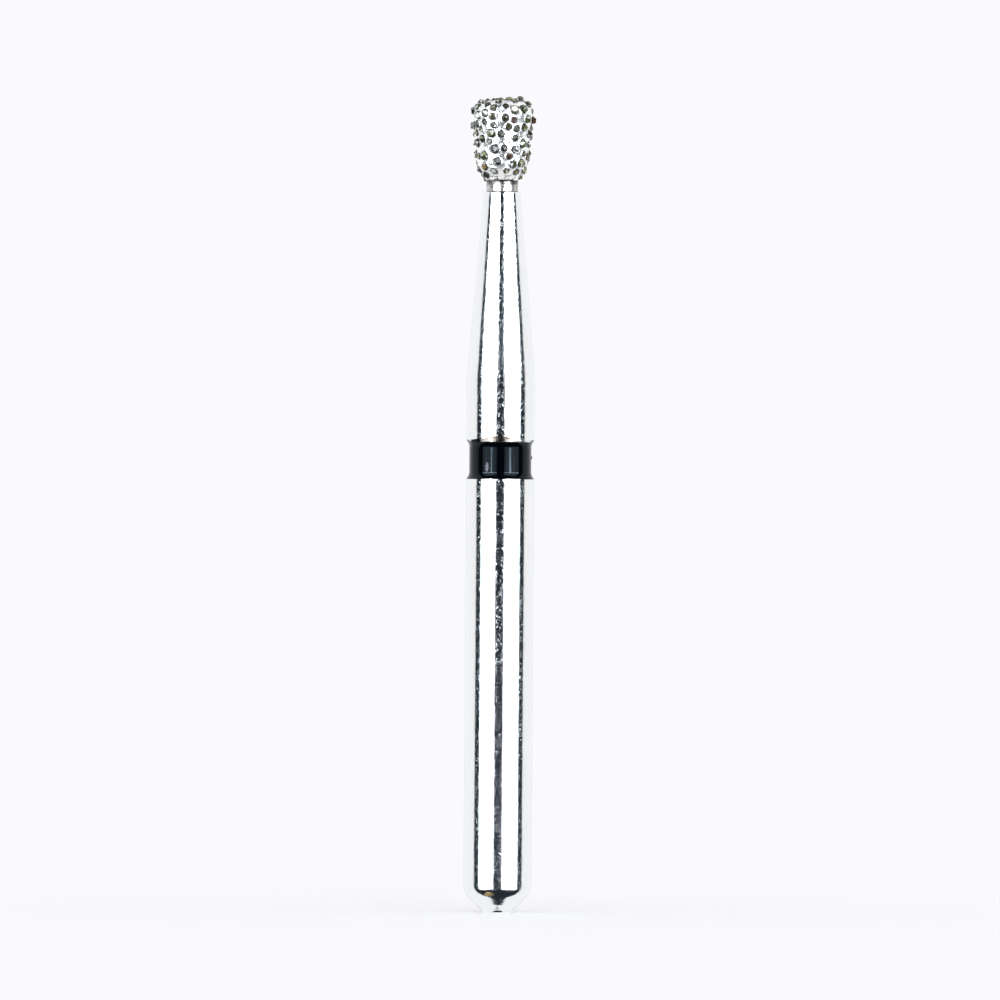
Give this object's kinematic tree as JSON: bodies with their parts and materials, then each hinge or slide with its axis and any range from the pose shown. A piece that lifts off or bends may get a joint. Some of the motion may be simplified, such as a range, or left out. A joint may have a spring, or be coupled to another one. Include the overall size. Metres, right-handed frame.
{
  "type": "dental bur",
  "caption": "Turned steel bur with a smooth cylindrical shank, a black grit-colour band, a tapered neck and a flared grinding head set with diamond grains in a plated bond.",
  "frame": {"origin": "centre of the shank's flat end face, the end that goes into the handpiece", "axes": "+Z along the axis of rotation, from the shank's end face to the grinding head; the row is turned about Z, so X and Y are any two directions across it"},
  "size_m": [0.0016, 0.0016, 0.0194],
  "materials": {
    "steel": "satin",
    "bond": "satin",
    "grains": "gloss",
    "lacquer": "gloss"
  },
  "bodies": {
    "root": {"steel_blank": "steel", "plated_bond": "bond", "diamond_grains": "grains", "colour_band": "lacquer"}
  },
  "joints": []
}
